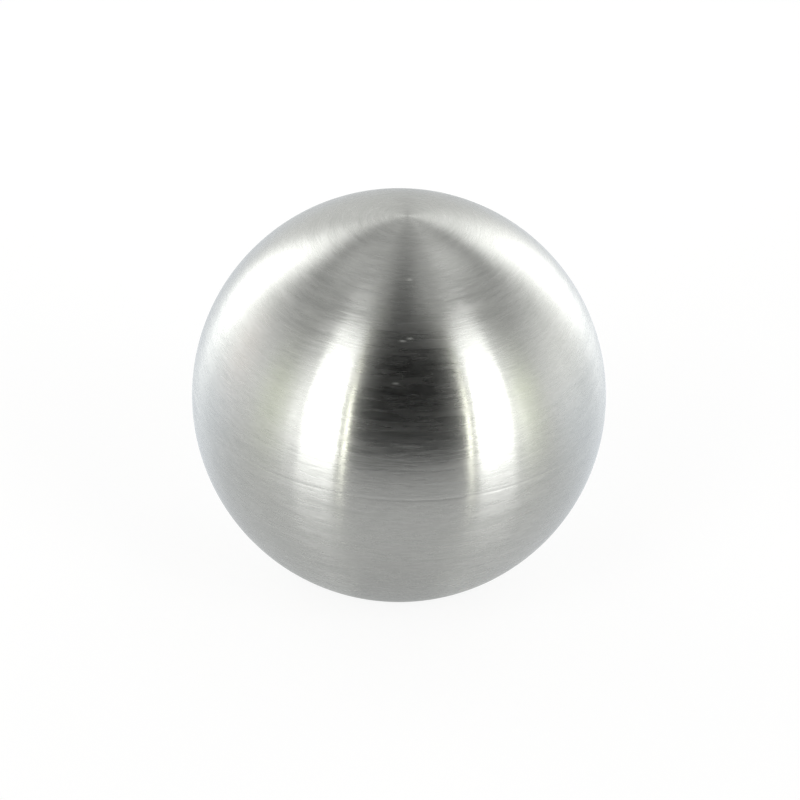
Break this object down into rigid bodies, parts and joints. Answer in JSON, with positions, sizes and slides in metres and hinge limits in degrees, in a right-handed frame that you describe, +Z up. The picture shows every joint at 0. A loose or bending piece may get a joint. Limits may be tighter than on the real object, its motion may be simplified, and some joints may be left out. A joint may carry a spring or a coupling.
{
  "type": "ball end cap",
  "caption": "Solid brushed steel ball with a blind bore that closes the end of a round bar. It stands on the flat ring round the bore's mouth.",
  "frame": {"origin": "centre of the bore's mouth, in the plane of the flat ring that the ball stands on", "axes": "+Z runs up the bore's axis to the crown of the ball; the form is the same all round, so +X is free"},
  "size_m": [0.025, 0.025, 0.0227],
  "materials": {
    "brushed_steel": "fine turned brushing that runs round the bore's axis"
  },
  "bodies": {
    "root": {"ball_end_cap": "brushed_steel"}
  },
  "joints": []
}
